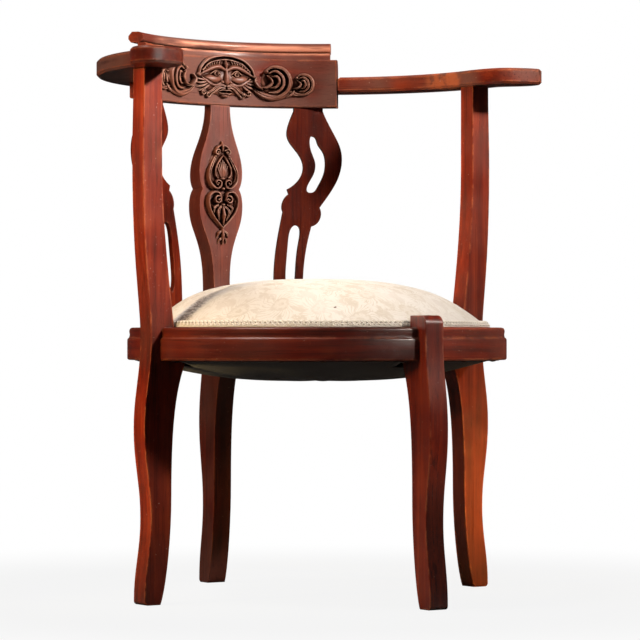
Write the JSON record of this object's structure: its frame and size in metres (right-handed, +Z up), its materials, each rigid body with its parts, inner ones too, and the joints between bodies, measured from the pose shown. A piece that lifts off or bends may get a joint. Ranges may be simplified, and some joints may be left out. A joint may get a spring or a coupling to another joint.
{
  "type": "corner chair",
  "caption": "Corner chair with a round domed seat, sawn S-shaped legs, a horseshoe arm rail, pierced side splats and a carved crest rail.",
  "frame": {"origin": "on the floor, in the middle of the chair's bounding box", "axes": "+Z up; -Y to the front leg and +Y to the back post; X across the arms, the plane of symmetry is X = 0"},
  "size_m": [0.6674, 0.5914, 0.7891],
  "materials": {
    "bottom_cloth": "black-grey dust cloth",
    "braid": "ivory gimp braid",
    "carving": "carved mahogany, bronze-brown polish with dark recesses",
    "damask": "ivory damask with a beige leaf pattern",
    "dowel_wood": "plain turned beech",
    "hessian": "coarse jute hessian",
    "mahogany": "polished red-brown mahogany, worn bright at the edges",
    "screw_steel": "dull old steel",
    "stuffing": "horsehair and cotton wadding",
    "webbing": "woven jute webbing"
  },
  "bodies": {
    "root": {"arm_dowels": "dowel_wood", "back_post": "mahogany", "bottom_cloth": "bottom_cloth", "bow_dowels": "dowel_wood", "crest_mask": "carving", "crest_rail": "mahogany", "crest_screws": "screw_steel", "crest_scroll_left": "carving", "crest_scroll_right": "carving", "front_leg": "mahogany", "left_arm": "mahogany", "left_arm_post": "mahogany", "left_splat": "mahogany", "post_cartouche": "carving", "post_drop": "carving", "rail_dowels": "dowel_wood", "right_arm": "mahogany", "right_arm_post": "mahogany", "right_splat": "mahogany", "seat_braid": "braid", "seat_cover": "damask", "seat_hessian": "hessian", "seat_rail_back_left": "mahogany", "seat_rail_back_right": "mahogany", "seat_rail_front_left": "mahogany", "seat_rail_front_right": "mahogany", "seat_stuffing": "stuffing", "webbing_crosswise": "webbing", "webbing_lengthwise": "webbing"}
  },
  "joints": []
}
